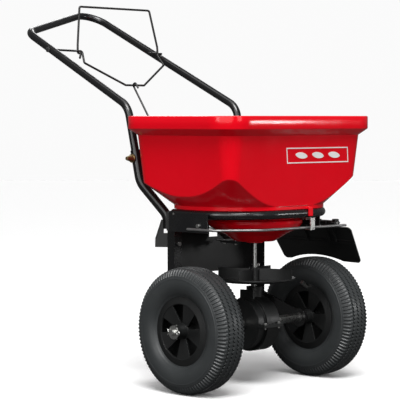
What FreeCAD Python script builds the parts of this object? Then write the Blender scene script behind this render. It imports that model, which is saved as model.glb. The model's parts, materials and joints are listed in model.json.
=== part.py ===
import FreeCAD, Part
import math
import os

# Walk-behind broadcast spreader, millimetres, +Z up, +Y forwards, +X to the operator's right.
# Everything below is laid out from the ground point under the middle of the axle.
# place() then moves it so that the origin is the middle of the overall footprint.

V = FreeCAD.Vector
ORIGIN_X = -9.03            # middle of the overall width, seen from the axle
ORIGIN_Y = -311.8           # middle of the overall length, seen from the axle

# Wheels and axle
AXLE_Z = 152.5              # 305 mm tyres
AXLE_R = 7.95
AXLE_END = 290.0
DRIVE_PIN_X = 270.4
WHEEL_X = 224.4
TYRE_HALF = 44.0
RIM_R = 79.1                # barrel the tyre sits on
LIP_R = 83.0
RIM_HALF = 30.4             # outer faces of the lips
FACE_HALF = 34.6            # outer face of the rim's ring, beside the windows
FIT = 0.05                  # radial clearance of every running fit
WINDOWS = 5
WINDOW_TURN = 63.7          # first window, from straight up towards the front

# Hopper
HOPPER_Y = -19.0
RIM_TOP = 665.0
RIM_LOW = 634.0
RIM_FOOT = 618.0
RIM_HALF_X = 270.0
RIM_HALF_Y = 192.0
RIM_CORNER = 69.0
WALL_HALF_X = 245.0
WALL_HALF_Y = 172.0
WALL_CORNER = 46.0
WALL_REF_Z = 630.0
DRAFT = math.tan(math.radians(7.0))
SKIN = 3.5
RING_HALF_X = 196.0
RING_HALF_Y = 150.0
RING_CORNER = 142.0
RING_LOW = 439.0
RING_TOP = 457.0
FUNNEL_SLOPE = 0.92         # rise over run of the funnel
BOWL_R = 117.7
BOWL_MOUTH_R = 108.5
BOWL_TOP = 417.0
BOWL_LIP = 436.0
FLOOR_INSET = 50.0
BOWL_FLOOR = 360.0

# Frame
TUBE_R = 11.0
TUBE_WALL = 1.6
HOOP_Z = 428.0
HOOP_INSET = 6.0            # hoop centre line inside the ring's outline
CLIP_X = -52.0              # guard clip, on the hoop's front
CLIP_Y = HOPPER_Y + RING_HALF_Y - HOOP_INSET
TAB_X = -52.0
HOOP_END = -93.0            # rear end of the hoop's legs
HOOP_BOLT_Y = -80.0
UPRIGHT_X = 150.0
UPRIGHT_Y = -130.5
UPRIGHT_HALF = 12.5
UPRIGHT_TOP = 431.0
UPRIGHT_LOW = 176.0
PLATE_X = 201.2
PLATE_T = 2.6
PLATE_FRONT = 36.0
PLATE_REAR = -117.8
PLATE_CORNER = 22.0         # cut-off rear corner of the bracket
PLATE_LOW = 385.0
GUARD_R = 3.1
GUARD_Z = 393.0
GUARD_BOLT_Y = 6.0
GUARD_BOLT_Z = 402.0
ARM_X = 163.0
ARM_T = 6.0
STAND_Y = -262.0
STAND_HALF = 84.0           # half the width of the stand on the ground

# Handle
GRIP_R = 10.0
SOCKET_R = 12.0
BEND = (195.0, -251.0, 689.0)
KNEE = (188.0, -213.0, 500.0)
SOCKET_TOP = 580.0
HANDLE_FOOT = 535.0
LEG_IN = 0.044              # inward run of a leg per unit of rearward run
LEG_UP = 0.482              # rise of a leg per unit of rearward run
LEG_SHORT = 411.0           # rearward run of the right leg
LEG_LONG = 562.0            # rearward run of the left leg
BOLT_Z = 560.0

# Control linkage
WIRE_R = 2.8
PIVOT = (181.4, -561.0, 838.4)
EYE_X = 144.0               # middle of each hook straight on the lever wire
EYE = (-493.0, 834.0)       # its Y and Z
ROD_R = 2.5
BAR = (33.0, -435.0, 746.0)
GATE_EYE = (0.0, -190.0, 392.0)

# Impeller and gearbox
SHAFT_R = 4.75
SHAFT_LOW = 190.0
SHAFT_TOP = 388.0
IMPELLER_R = 101.0
IMPELLER_Z = 256.0
GEAR_PIN_X = 30.0
CROWN_R = 52.0
CROWN_TEETH = 40
PINION_TEETH = 10
TOOTH_W = 2.4
BOX_R = 68.0
BOX_LOW_X = -19.0
BOX_MID_X = 26.0
BOX_HIGH_X = 50.0
NEAR_R = 62.0

# Side baffle
HINGE_X = -250.0
HINGE_Z = 392.0
HINGE_R = 3.0
HINGE_REAR = -118.0
HINGE_FRONT = 54.0
ARM_REARS = (-102.0, -10.0)
KNUCKLES = ((-80, -56), (-4, 18), (22, 40))
BAFFLE_LEAN = 28.0

X_AXIS = V(1, 0, 0)
Y_AXIS = V(0, 1, 0)
Z_AXIS = V(0, 0, 1)
AXLE_MID = V(0, 0, AXLE_Z)


def place(shape):
    moved = shape.copy()
    moved.translate(V(-ORIGIN_X, -ORIGIN_Y, 0))
    return moved


def save(name, *solids):
    shape = solids[0] if len(solids) == 1 else Part.makeCompound(list(solids))
    place(shape).exportStep("parts/" + name + ".step")


def mirror(shape):
    return shape.mirror(V(0, 0, 0), X_AXIS)


def box(x0, x1, y0, y1, z0, z1):
    return Part.makeBox(x1 - x0, y1 - y0, z1 - z0, V(x0, y0, z0))


def bar(start, end, radius):
    run = V(*end) - V(*start)
    return Part.makeCylinder(radius, run.Length, V(*start), run)


def sleeve(start, end, outer, inner):
    run = V(*end) - V(*start)
    hole = Part.makeCylinder(inner, run.Length + 2, V(*start) - run.normalize(), V(*end) - V(*start))
    return bar(start, end, outer).cut(hole)


def fuse(*shapes):
    return shapes[0].fuse(list(shapes[1:])).removeSplitter()


def hexagon(centre, axis, across, height):
    """Hexagonal prism that starts at centre and grows along axis."""
    along = V(*axis).normalize()
    side = along.cross(Z_AXIS if abs(along.z) < 0.9 else X_AXIS).normalize()
    other = along.cross(side)
    reach = across / math.sqrt(3)
    points = []
    for k in range(7):
        turn = math.radians(60 * k)
        points.append(V(*centre) + side * (reach * math.cos(turn)) + other * (reach * math.sin(turn)))
    return Part.Face(Part.makePolygon(points)).extrude(along * height)


def screw(seat, axis, shank_r, shank, across, head):
    """Hexagon screw whose head sits on the seat and whose shank goes against the axis."""
    along = V(*axis).normalize()
    end = V(*seat) - along * shank
    return fuse(hexagon(seat, axis, across, head), bar(seat, tuple(end), shank_r))


def bent_path(points, bend):
    """Straight runs through the points, joined by tangent arcs of the given radius."""
    pts = [V(*p) for p in points]
    edges = []
    here = pts[0]
    for before, corner, after in zip(pts, pts[1:], pts[2:]):
        back = (before - corner).normalize()
        ahead = (after - corner).normalize()
        half = math.acos(max(-1.0, min(1.0, back.dot(ahead)))) / 2
        limit = 0.49 * min((before - corner).Length, (after - corner).Length)
        setback = min(bend / math.tan(half), limit)
        middle = (back + ahead).normalize()
        arc_r = setback * math.tan(half)
        centre = corner + middle * (arc_r / math.sin(half))
        first = corner + back * setback
        last = corner + ahead * setback
        top = centre - middle * arc_r
        edges.append(Part.LineSegment(here, first).toShape())
        edges.append(Part.Arc(first, top, last).toShape())
        here = last
    edges.append(Part.LineSegment(here, pts[-1]).toShape())
    return Part.Wire(edges)


def rod(points, radius, bend):
    path = bent_path(points, bend)
    start = V(*points[0])
    circle = Part.Wire(Part.makeCircle(radius, start, V(*points[1]) - start))
    return path.makePipeShell([circle], True, False)


def tube(points, radius, wall, bend):
    return rod(points, radius, bend).cut(rod(points, radius - wall, bend))


def lathe(points, x_mid):
    """Turns (distance along X, radius) points about the axle."""
    ring = [V(x_mid + u, 0, AXLE_Z + r) for u, r in points]
    ring.append(ring[0])
    return Part.Face(Part.makePolygon(ring)).revolve(AXLE_MID, X_AXIS, 360)


def spin(points, centre_y):
    """Turns (radius, height) points about an upright axis at centre_y."""
    ring = [V(r, centre_y, z) for r, z in points]
    ring.append(ring[0])
    return Part.Face(Part.makePolygon(ring)).revolve(V(0, centre_y, 0), Z_AXIS, 360)


# ---------------------------------------------------------------- hopper

def outline(half_x, half_y, corner, z):
    """Rounded rectangle about the hopper's middle."""
    flat_x = half_x - corner
    flat_y = half_y - corner
    edges = []
    for k, (sx, sy) in enumerate(((1, 1), (-1, 1), (-1, -1), (1, -1))):
        centre = V(sx * flat_x, HOPPER_Y + sy * flat_y, z)
        start = 90 * k
        edges.append(Part.makeCircle(corner, centre, Z_AXIS, start, start + 90))
    joined = []
    for k in range(4):
        joined.append(edges[k])
        here = edges[k].Vertexes[1].Point
        following = edges[(k + 1) % 4].Vertexes[0].Point
        joined.append(Part.LineSegment(here, following).toShape())
    return Part.Wire(joined)


def wall_outline(z, inset):
    shift = (z - WALL_REF_Z) * DRAFT - inset
    return outline(WALL_HALF_X + shift, WALL_HALF_Y + shift, WALL_CORNER + shift, z)


def rim_outline(z, inset):
    return outline(RIM_HALF_X - inset, RIM_HALF_Y - inset, RIM_CORNER - inset, z)


def wall_block(inset, top):
    return Part.makeLoft([wall_outline(RING_TOP, inset), wall_outline(top, inset)], True, True)


def ring_outline(z, inset):
    return outline(RING_HALF_X - inset, RING_HALF_Y - inset, RING_CORNER - inset, z)


def funnel_block(inset, top):
    """Funnel that opens upwards from the ring, carried on as a straight block outside the walls."""
    reach = 130.0
    bend_z = RING_TOP + reach * FUNNEL_SLOPE
    wide = inset - reach
    flare = Part.makeLoft([ring_outline(RING_TOP, inset), ring_outline(bend_z, wide)], True, True)
    block = Part.makeLoft([ring_outline(bend_z, wide), ring_outline(top, wide)], True, True)
    return flare.fuse(block)


def floor_block(inset, low, step, top):
    """Shallow dished floor and the upright ring above it."""
    floor = ring_outline(low, FLOOR_INSET + inset)
    dish = Part.makeLoft([floor, ring_outline(step, 9 + inset)], True, True)
    ring = Part.makeLoft([ring_outline(step, inset), ring_outline(top, inset)], True, True)
    return dish.fuse(ring)


def rim_block(inset, foot, top):
    flared = Part.makeLoft([wall_outline(RIM_FOOT, inset), rim_outline(RIM_LOW, inset)], True, True)
    band = Part.makeLoft([rim_outline(RIM_LOW, inset), rim_outline(top, inset)], True, True)
    block = flared.fuse(band)
    if foot < RIM_FOOT:
        below = Part.makeLoft([wall_outline(foot, inset), wall_outline(RIM_FOOT, inset)], True, True)
        block = block.fuse(below)
    return block


def hopper():
    above = RIM_TOP + 10
    walls = wall_block(0, RIM_TOP).common(funnel_block(0, above))
    void = wall_block(SKIN, above).common(funnel_block(SKIN, above + 10))
    rim = rim_block(0, RIM_FOOT, RIM_TOP).cut(rim_block(SKIN, RIM_FOOT - 5, RIM_TOP - SKIN))
    floor_out = floor_block(0, BOWL_TOP, RING_LOW, RING_TOP)
    floor_in = floor_block(SKIN, BOWL_TOP + 4, RING_LOW + 5, RING_TOP)
    mouth = bar((0, 0, BOWL_TOP - 5), (0, 0, RING_TOP), BOWL_MOUTH_R)
    front = HOPPER_Y + RING_HALF_Y
    tab = box(TAB_X - 7, TAB_X + 7, front - 2.5, front + 8.4, RING_LOW + 0.2, RING_LOW + 5)
    tab = tab.fuse(box(TAB_X - 7, TAB_X + 7, front + 5.3, front + 8.4, 421, RING_LOW + 5))
    shell = walls.fuse([rim, floor_out]).cut([void, floor_in, mouth])
    shell = shell.cut([bar((x, y, RING_LOW - 3), (x, y, RING_LOW + 7), 2.45) for x, y in hoop_holes()])
    return shell.fuse(tab).removeSplitter()


def hoop_holes():
    """Screw places on the straight legs of the hoop, behind the brackets."""
    side = RING_HALF_X - HOOP_INSET
    return [(x, y) for x in (side, -side) for y in (-50, -14)]


def bowl():
    outer = [(0, 352), (20, 352), (20, BOWL_FLOOR - 3), (50, BOWL_FLOOR - 3), (76, 373), (100, 385),
             (113, 394), (BOWL_R, 402), (BOWL_R, 409), (BOWL_MOUTH_R - 0.3, 414),
             (BOWL_MOUTH_R - 0.3, BOWL_LIP), (0, BOWL_LIP)]
    inner = [(0, BOWL_FLOOR), (49, BOWL_FLOOR), (75, 376), (98, 387.5), (110.5, 396.5), (BOWL_R - 3, 403.5),
             (BOWL_R - 3, 407.5), (BOWL_MOUTH_R - 3.2, 412.5), (BOWL_MOUTH_R - 3.2, BOWL_LIP + 2),
             (0, BOWL_LIP + 2)]
    shell = spin(outer, 0).cut(spin(inner, 0))
    shell = shell.cut(bar((0, 0, 340), (0, 0, 370), 9.0))
    for side in (-24, 24):
        shell = shell.cut(bar((side, -36, 350), (side, -36, 370), 12.0))
    for x, y in guide_holes():
        shell = shell.cut(bar((x, y, 350), (x, y, 359), 1.95))
    return shell.removeSplitter()


def hopper_screws():
    """Screws that go up through the hoop into the ring."""
    return [screw((x, y, HOOP_Z - TUBE_R - 0.2), (0, 0, -1), 2.4, 26, 8, 3.5) for x, y in hoop_holes()]


# ---------------------------------------------------------------- frame

def hoop_path():
    def point(x, y):
        return V(x, y, HOOP_Z)

    side = RING_HALF_X - HOOP_INSET
    corner = RING_CORNER - HOOP_INSET
    mid_y = HOPPER_Y + RING_HALF_Y - RING_CORNER
    flat = side - corner
    front = mid_y + corner
    bow = corner * math.sqrt(0.5)
    return Part.Wire([
        Part.LineSegment(point(side, HOOP_END), point(side, mid_y)).toShape(),
        Part.Arc(point(side, mid_y), point(flat + bow, mid_y + bow), point(flat, front)).toShape(),
        Part.LineSegment(point(flat, front), point(-flat, front)).toShape(),
        Part.Arc(point(-flat, front), point(-flat - bow, mid_y + bow), point(-side, mid_y)).toShape(),
        Part.LineSegment(point(-side, mid_y), point(-side, HOOP_END)).toShape()])


def hoop_tube():
    """U-shaped tube round the front of the ring, with straight ends inside the brackets."""
    path = hoop_path()
    start = path.Edges[0].Vertexes[0].Point
    outer = Part.Wire(Part.makeCircle(TUBE_R, start, Y_AXIS))
    inner = Part.Wire(Part.makeCircle(TUBE_R - TUBE_WALL, start, Y_AXIS))
    pipe = path.makePipeShell([outer], True, False).cut(path.makePipeShell([inner], True, False))
    pipe = pipe.cut([bar((x, y, HOOP_Z - 16), (x, y, HOOP_Z + 16), 2.5) for x, y in hoop_holes()])
    pipe = pipe.cut(bar((CLIP_X, CLIP_Y, HOOP_Z - 16), (CLIP_X, CLIP_Y, HOOP_Z), 2.5))
    for x in (start.x, -start.x):
        pipe = pipe.cut(bar((x - 14, HOOP_BOLT_Y, HOOP_Z), (x + 14, HOOP_BOLT_Y, HOOP_Z), 3.1))
    return pipe


def side_plate():
    """Bent sheet that ties the hoop's end to the upright."""
    inside = PLATE_X
    face = inside + PLATE_T
    low_x = UPRIGHT_X - UPRIGHT_HALF
    turn_y = PLATE_REAR + PLATE_CORNER
    turn_x = face - 0.63 * PLATE_CORNER
    inner_y = PLATE_REAR + PLATE_T
    plan = [(face, PLATE_FRONT), (face, turn_y), (turn_x, PLATE_REAR), (low_x, PLATE_REAR),
            (low_x, inner_y), (turn_x - 1.4, inner_y), (inside, turn_y + 0.8), (inside, PLATE_FRONT),
            (face, PLATE_FRONT)]
    sheet = Part.Face(Part.makePolygon([V(x, y, PLATE_LOW) for x, y in plan]))
    wall = sheet.extrude(V(0, 0, UPRIGHT_TOP - PLATE_LOW))
    foot = box(inside - 14, face, turn_y + 1, PLATE_FRONT - 30, PLATE_LOW, PLATE_LOW + PLATE_T)
    plate = fuse(wall, foot)
    for y, z, radius in ((HOOP_BOLT_Y, HOOP_Z, 3.1), (GUARD_BOLT_Y, GUARD_BOLT_Z, 2.6)):
        plate = plate.cut(bar((inside - 5, y, z), (inside + 5, y, z), radius))
    for z in (398, 418):
        plate = plate.cut(bar((UPRIGHT_X, PLATE_REAR - 3, z), (UPRIGHT_X, PLATE_REAR + 5, z), 3.1))
    return plate


def upright():
    """Square tube from the bracket down past the axle arm."""
    def stick(half, low, top):
        return box(UPRIGHT_X - half, UPRIGHT_X + half, UPRIGHT_Y - half, UPRIGHT_Y + half, low, top)

    hollow = stick(UPRIGHT_HALF - TUBE_WALL, UPRIGHT_LOW - 1, UPRIGHT_TOP + 1)
    post = stick(UPRIGHT_HALF, UPRIGHT_LOW, UPRIGHT_TOP).cut(hollow)
    for z in (398, 418, 350):
        post = post.cut(bar((UPRIGHT_X, UPRIGHT_Y - 20, z), (UPRIGHT_X, UPRIGHT_Y + 20, z), 3.1))
    for z in (205, 186):
        post = post.cut(bar((UPRIGHT_X - 20, UPRIGHT_Y, z), (UPRIGHT_X + 20, UPRIGHT_Y, z), 3.1))
    return post


def axle_arm():
    """Flat bar from the upright forward and down to the eye round the axle."""
    rear = V(0, UPRIGHT_Y, 196)
    eye = V(0, 0, AXLE_Z)
    along = (eye - rear).normalize()
    across = V(0, -along.z, along.y) * 17
    corners = [rear + across - along * 12, eye + across, eye - across, rear - across - along * 12]
    corners.append(corners[0])
    flat = Part.Face(Part.makePolygon(corners)).extrude(V(ARM_T, 0, 0))
    flat = flat.fuse(bar((0, 0, AXLE_Z), (ARM_T, 0, AXLE_Z), 23))
    flat.translate(V(ARM_X, 0, 0))
    flat = flat.cut(bar((ARM_X - 1, 0, AXLE_Z), (ARM_X + 8, 0, AXLE_Z), 12))
    for z in (205, 186):
        flat = flat.cut(bar((ARM_X - 1, UPRIGHT_Y, z), (ARM_X + 8, UPRIGHT_Y, z), 3.1))
    return flat.removeSplitter()


def axle_bushing():
    """Flanged nylon bush pressed into the arm's eye."""
    barrel = sleeve((ARM_X - 3, 0, AXLE_Z), (ARM_X + ARM_T, 0, AXLE_Z), 12, AXLE_R + FIT)
    flange = sleeve((ARM_X + ARM_T, 0, AXLE_Z), (ARM_X + ARM_T + 3, 0, AXLE_Z), 16, AXLE_R + FIT)
    return fuse(barrel, flange)


def stand_tube():
    """One tube: down from each upright, back to the ground and across."""
    x = UPRIGHT_X - UPRIGHT_HALF - TUBE_R - 0.2
    right = [(x, UPRIGHT_Y, 226), (x, UPRIGHT_Y, 178), (STAND_HALF, STAND_Y, TUBE_R + 3)]
    left = [(-px, py, pz) for px, py, pz in reversed(right)]
    pipe = tube(right + left, TUBE_R, TUBE_WALL, 30)
    for z in (205, 186):
        for side in (x, -x):
            pipe = pipe.cut(bar((side - 14, UPRIGHT_Y, z), (side + 14, UPRIGHT_Y, z), 3.1))
    return pipe


def stand_foot():
    """Plastic shoe clipped under the stand's cross tube."""
    z = TUBE_R + 3
    shoe = box(18, 48, STAND_Y - 15, STAND_Y + 15, 0, z + 2)
    shoe = shoe.makeFillet(3, [e for e in shoe.Edges if abs(e.BoundBox.ZLength - (z + 2)) < 0.1])
    return shoe.cut(bar((16, STAND_Y, z), (50, STAND_Y, z), TUBE_R))


def leg_at(z):
    """Point at height z on the straight line from the knee up to the bend."""
    share = (z - KNEE[2]) / (BEND[2] - KNEE[2])
    return V(*KNEE) + (V(*BEND) - V(*KNEE)) * share


def bolt_bar(side, start, end, radius):
    """Bar across the joint of socket and handle, between two distances from the leg's middle."""
    mid = leg_at(BOLT_Z)
    return bar((side * (mid.x + start), mid.y, mid.z), (side * (mid.x + end), mid.y, mid.z), radius)


def lower_handle():
    """Socket tube from the upright up to the joint with the handle."""
    foot_y = UPRIGHT_Y - UPRIGHT_HALF - SOCKET_R - 0.3
    points = [(UPRIGHT_X, foot_y, 386), (UPRIGHT_X, foot_y, 418), KNEE, tuple(leg_at(SOCKET_TOP))]
    socket = rod(points, SOCKET_R, 62).cut(rod(points, GRIP_R, 62))
    socket = socket.cut(bar(tuple(leg_at(HANDLE_FOOT - 1)), tuple(leg_at(SOCKET_TOP + 5)), GRIP_R + 0.05))
    socket = socket.cut(bar((UPRIGHT_X, foot_y - 15, 398), (UPRIGHT_X, foot_y + 15, 398), 3.1))
    return socket.cut(bolt_bar(1, -20, 20, 3.1))


def leg_point(side, run):
    """Point on a handle leg, at a rearward run from the bend."""
    return (side * (BEND[0] - LEG_IN * run), BEND[1] - run, BEND[2] + LEG_UP * run)


def upper_handle():
    """One tube: up out of the right socket, back, across the grip and down to the left one."""
    foot = leg_at(HANDLE_FOOT)
    points = [tuple(foot), BEND, leg_point(1, LEG_SHORT), leg_point(-1, LEG_LONG), leg_point(-1, 0),
              (-foot.x, foot.y, foot.z)]
    pipe = tube(points, GRIP_R, TUBE_WALL, 52)
    for side in (1, -1):
        pipe = pipe.cut(bolt_bar(side, -20, 20, 3.1))
        pipe = pipe.cut(bar((side * 165, PIVOT[1], PIVOT[2]), (side * 200, PIVOT[1], PIVOT[2]), 4.5))
    return pipe


def handle_bolt():
    mid = leg_at(BOLT_Z)
    return screw((mid.x - SOCKET_R - 1.3, mid.y, mid.z), (-1, 0, 0), 2.95, 33, 10, 4)


def handle_knob():
    """Cone-shaped nut on the outer side of the joint."""
    mid = leg_at(BOLT_Z)
    seat = SOCKET_R + 1.3
    cone = Part.makeCone(9.5, 4.5, 17, V(mid.x + seat + 3, mid.y, mid.z), X_AXIS)
    return fuse(bolt_bar(1, seat, seat + 3, 11), cone).cut(bolt_bar(1, seat - 1, seat + 8, 3))


def pivot_bushing():
    """Nylon grommet in the leg for the end of the lever wire."""
    x = PIVOT[0]
    y, z = PIVOT[1], PIVOT[2]
    barrel = sleeve((x - GRIP_R - 1, y, z), (x + GRIP_R + 1, y, z), 4.5, WIRE_R + FIT)
    head = sleeve((x + GRIP_R + 1, y, z), (x + GRIP_R + 3, y, z), 7, WIRE_R + FIT)
    return fuse(barrel, head)


def rear_deflector():
    """Plastic guard between the uprights, with a short wing swept back at each side."""
    front = UPRIGHT_Y - UPRIGHT_HALF - 0.2
    panel = box(-158, 158, front - 3.2, front, 272, 375)
    panel = panel.fuse(box(-134, 134, front - 3.2, front, 374, 406))
    plan = [(157, front), (178.4, front - 27.5), (176.4, front - 29), (155.4, front - 2), (157, front)]
    wing = Part.Face(Part.makePolygon([V(x, y, 341) for x, y in plan])).extrude(V(0, 0, 68))
    edge = [V(180, -200, 345), V(167, -200, 410), V(190, -200, 410), V(190, -200, 345), V(180, -200, 345)]
    wing = wing.cut(Part.Face(Part.makePolygon(edge)).extrude(V(0, 80, 0)))
    wing = wing.cut(box(150, 166, front - 12, front + 2, 376, 410))
    panel = panel.fuse([wing, mirror(wing)])
    panel = panel.cut(box(-16, 16, front - 4, front + 1, 360, 407))
    for side in (UPRIGHT_X, -UPRIGHT_X):
        panel = panel.cut(bar((side, -150, 350), (side, -140, 350), 3.1))
    ribs = [box(x - 1.5, x + 1.5, front - 7.4, front - 3, 276, 371) for x in (-90, -30, 30, 90)]
    return panel.fuse(ribs).removeSplitter()


def frame_bolts():
    """Screws of the brackets, the guard, the arms and the stand, on both sides."""
    one_side = []
    for z in (398, 418):
        reach = 44 if z == 398 else 27
        one_side.append(screw((UPRIGHT_X, PLATE_REAR + PLATE_T, z), (0, 1, 0), 2.9, reach, 9, 4))
    one_side.append(screw((UPRIGHT_X, UPRIGHT_Y + UPRIGHT_HALF, 350), (0, 1, 0), 2.9, 31, 10, 6))
    hoop_inside = PLATE_X - 2 * TUBE_R - 0.4
    one_side.append(screw((hoop_inside, HOOP_BOLT_Y, HOOP_Z), (-1, 0, 0), 2.9, 25, 9, 4))
    one_side.append(screw((PLATE_X + PLATE_T, GUARD_BOLT_Y, GUARD_BOLT_Z), (1, 0, 0), 2.4, 8, 9, 4))
    for z in (205, 186):
        one_side.append(screw((ARM_X + ARM_T, UPRIGHT_Y, z), (1, 0, 0), 2.9, 50, 9, 4))
    clip = screw((CLIP_X, CLIP_Y, HOOP_Z - TUBE_R - 2.1), (0, 0, -1), 2.4, 10, 8, 3.5)
    return one_side + [mirror(b) for b in one_side] + [clip]


def guard_rod():
    """Bare wire rod along the right bracket and across the front under the hoop."""
    beside = PLATE_X + PLATE_T + GUARD_R + 0.1
    points = [(beside, -28, GUARD_Z), (beside, 60, GUARD_Z), (112, 132, GUARD_Z), (-185, 137, GUARD_Z)]
    return rod(points, GUARD_R, 34)


def guard_clip():
    """Bent strap from under the hoop down to the rod."""
    low, high = CLIP_X - 8, CLIP_X + 8
    under = HOOP_Z - TUBE_R
    top = box(low, high, CLIP_Y - 8, CLIP_Y + 20, under - 2.1, under - 0.1)
    drop = box(low, high, CLIP_Y + 18, CLIP_Y + 20, GUARD_Z - 5.3, under - 0.1)
    shelf = box(low, high, CLIP_Y + 2, CLIP_Y + 20, GUARD_Z - 5.3, GUARD_Z - 3.3)
    return fuse(top, drop, shelf).cut(bar((CLIP_X, CLIP_Y, 410), (CLIP_X, CLIP_Y, 420), 2.5))


# ---------------------------------------------------------------- wheels

def tyre(x_mid):
    """Hollow casing: tread crown, shoulders, bulged sidewalls and two beads."""
    def point(u, r):
        return V(x_mid + u, 0, AXLE_Z + r)

    def arc(a, b, c):
        return Part.Arc(point(*a), point(*b), point(*c)).toShape()

    def line(a, b):
        return Part.LineSegment(point(*a), point(*b)).toShape()

    seat, ledge = RIM_R + 0.3, LIP_R + 0.4
    bead, out = RIM_HALF - 3.8, RIM_HALF + 0.1
    section = Part.Wire([
        line((-bead, seat), (-bead, ledge)), line((-bead, ledge), (-out, ledge)),
        arc((-out, ledge), (-TYRE_HALF, 116.5), (-37.5, 140.5)),
        arc((-37.5, 140.5), (-33, 146.6), (-25, 150.4)),
        arc((-25, 150.4), (0, AXLE_Z), (25, 150.4)),
        arc((25, 150.4), (33, 146.6), (37.5, 140.5)),
        arc((37.5, 140.5), (TYRE_HALF, 116.5), (out, ledge)),
        line((out, ledge), (bead, ledge)), line((bead, ledge), (bead, seat)),
        line((bead, seat), (18, seat)),
        arc((18, seat), (36, 112), (27, 139)),
        arc((27, 139), (0, 143.5), (-27, 139)),
        arc((-27, 139), (-36, 112), (-18, seat)),
        line((-18, seat), (-bead, seat))])
    return Part.Face(section).revolve(AXLE_MID, X_AXIS, 360)


def inner_tube(x_mid):
    mid_z = AXLE_Z + 115.5
    oval = Part.Ellipse(V(x_mid + 27.5, 0, mid_z), V(x_mid, 0, mid_z + 24.5), V(x_mid, 0, mid_z))
    return Part.Face(Part.Wire(oval.toShape())).revolve(AXLE_MID, X_AXIS, 360)


def wheel(side, bore):
    """Moulded wheel: barrel, two dished plates with windows, a closed web between them and a long hub."""
    x_mid = side * WHEEL_X
    lip, face, bead = RIM_HALF, FACE_HALF, RIM_HALF - 3.5
    barrel = [(-lip, LIP_R), (-bead, LIP_R), (-bead, RIM_R), (bead, RIM_R), (bead, LIP_R), (lip, LIP_R),
              (face, 68), (face, 66.5), (lip, 66.5), (27, 75.5), (-27, 75.5), (-lip, 66.5), (-face, 66.5),
              (-face, 68)]
    outer = [(33.4, 67.2), (26, 15), (21.5, 15), (29.6, 67.2)]
    inner = [(-33.4, 67.2), (-26, 15), (-21.5, 15), (-29.6, 67.2)]
    hub = [(-44, 10), (-44, 17), (-2, 21), (12, 21), (44, 16), (52.6, 16), (52.6, 10)]
    web = [(-1, 77), (1, 77), (1, 18), (-1, 18)]
    turned = [lathe([(side * u, r) for u, r in line], x_mid) for line in (barrel, outer, inner, hub, web)]
    body = turned[0].fuse(turned[1:4]).cut([window(side, k) for k in range(WINDOWS)])
    body = body.fuse(turned[4]).cut(valve_stem(side, 0.05))
    core = bar((x_mid - 60, 0, AXLE_Z), (x_mid + 60, 0, AXLE_Z), bore)
    filler = bar((x_mid - side * 44, 0, AXLE_Z), (x_mid + side * 52.6, 0, AXLE_Z), 12)
    return body.fuse(filler).cut(core).removeSplitter()


def window(side, k):
    """Fan-shaped cutter between two spokes."""
    half = math.radians(16.5)
    near, far = 21, 65
    corners = []
    for angle, radius in ((-half * 0.6, near), (-half, far), (0, far), (half, far), (half * 0.6, near)):
        turn = angle + math.radians(360 / WINDOWS * k + WINDOW_TURN)
        corners.append(V(0, radius * math.sin(turn), AXLE_Z + radius * math.cos(turn)))
    edge = Part.Wire([
        Part.LineSegment(corners[0], corners[1]).toShape(),
        Part.Arc(*corners[1:4]).toShape(),
        Part.LineSegment(corners[3], corners[4]).toShape(),
        Part.LineSegment(corners[4], corners[0]).toShape()])
    cutter = Part.Face(edge).extrude(V(2 * FACE_HALF + 2, 0, 0))
    cutter.translate(V(side * WHEEL_X - FACE_HALF - 1, 0, 0))
    return cutter


def valve_stem(side, gap=0.0):
    """Metal valve that leaves the rim on the inboard side and leans outwards, with a thicker cap."""
    x = side * WHEEL_X
    foot = V(x - side * 24, 0, AXLE_Z + 70)
    tip = V(x - side * 50, 0, AXLE_Z + 90)
    run = tip - foot
    stem = bar(tuple(foot), tuple(tip), 4.2 + gap)
    cap = bar(tuple(foot + run * 0.6), tuple(tip), 5.4 + gap)
    return fuse(stem, cap)


def axle():
    shaft = bar((-AXLE_END, 0, AXLE_Z), (AXLE_END, 0, AXLE_Z), AXLE_R)
    for x in (-284, 284):
        shaft = shaft.cut(bar((x, -12, AXLE_Z), (x, 12, AXLE_Z), 1.9))
    shaft = shaft.cut(bar((DRIVE_PIN_X, 0, AXLE_Z - 20), (DRIVE_PIN_X, 0, AXLE_Z + 20), 2.5))
    return shaft.cut(bar((GEAR_PIN_X, 0, AXLE_Z - 20), (GEAR_PIN_X, 0, AXLE_Z + 20), 2.0))


def axle_washer():
    return sleeve((278, 0, AXLE_Z), (281, 0, AXLE_Z), 16.5, AXLE_R + FIT)


def cotter_pin():
    """Pin through the axle end, with its eye on one side and its legs spread on the other."""
    pin = bar((284, -13, AXLE_Z), (284, 15, AXLE_Z), 1.8)
    eye = Part.makeTorus(4.2, 1.8, V(284, 18.6, AXLE_Z), X_AXIS)
    legs = [bar((284, -12.4, AXLE_Z), (284, -17, AXLE_Z + spread), 1.3) for spread in (-7, 7)]
    return fuse(pin, eye, *legs)


def axle_spacer(side):
    """Zinc sleeve on the axle between the gearbox and the arm."""
    start, end = (54.6, 159.4) if side > 0 else (-159.4, -23.6)
    return sleeve((start, 0, AXLE_Z), (end, 0, AXLE_Z), 10.7, AXLE_R + FIT)


# ---------------------------------------------------------------- gearbox

def crown_gear():
    """Disc on the axle with face teeth that drive the upright pinion."""
    disc = lathe([(15.6, AXLE_R + FIT), (15.6, 58), (23, 58), (23, 20), (36, 17), (36, AXLE_R + FIT)], 0)
    disc = disc.cut(bar((GEAR_PIN_X, 0, AXLE_Z - 20), (GEAR_PIN_X, 0, AXLE_Z + 20), 2.0))
    tooth = box(11.4, 16.2, -TOOTH_W / 2, TOOTH_W / 2, AXLE_Z + CROWN_R - 6, AXLE_Z + CROWN_R + 5.6)
    teeth = []
    pitch = 360 / CROWN_TEETH
    for k in range(CROWN_TEETH):
        copy = tooth.copy()
        copy.rotate(AXLE_MID, X_AXIS, pitch * (k + 0.5))
        teeth.append(copy)
    return disc.fuse(teeth).removeSplitter()


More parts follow.
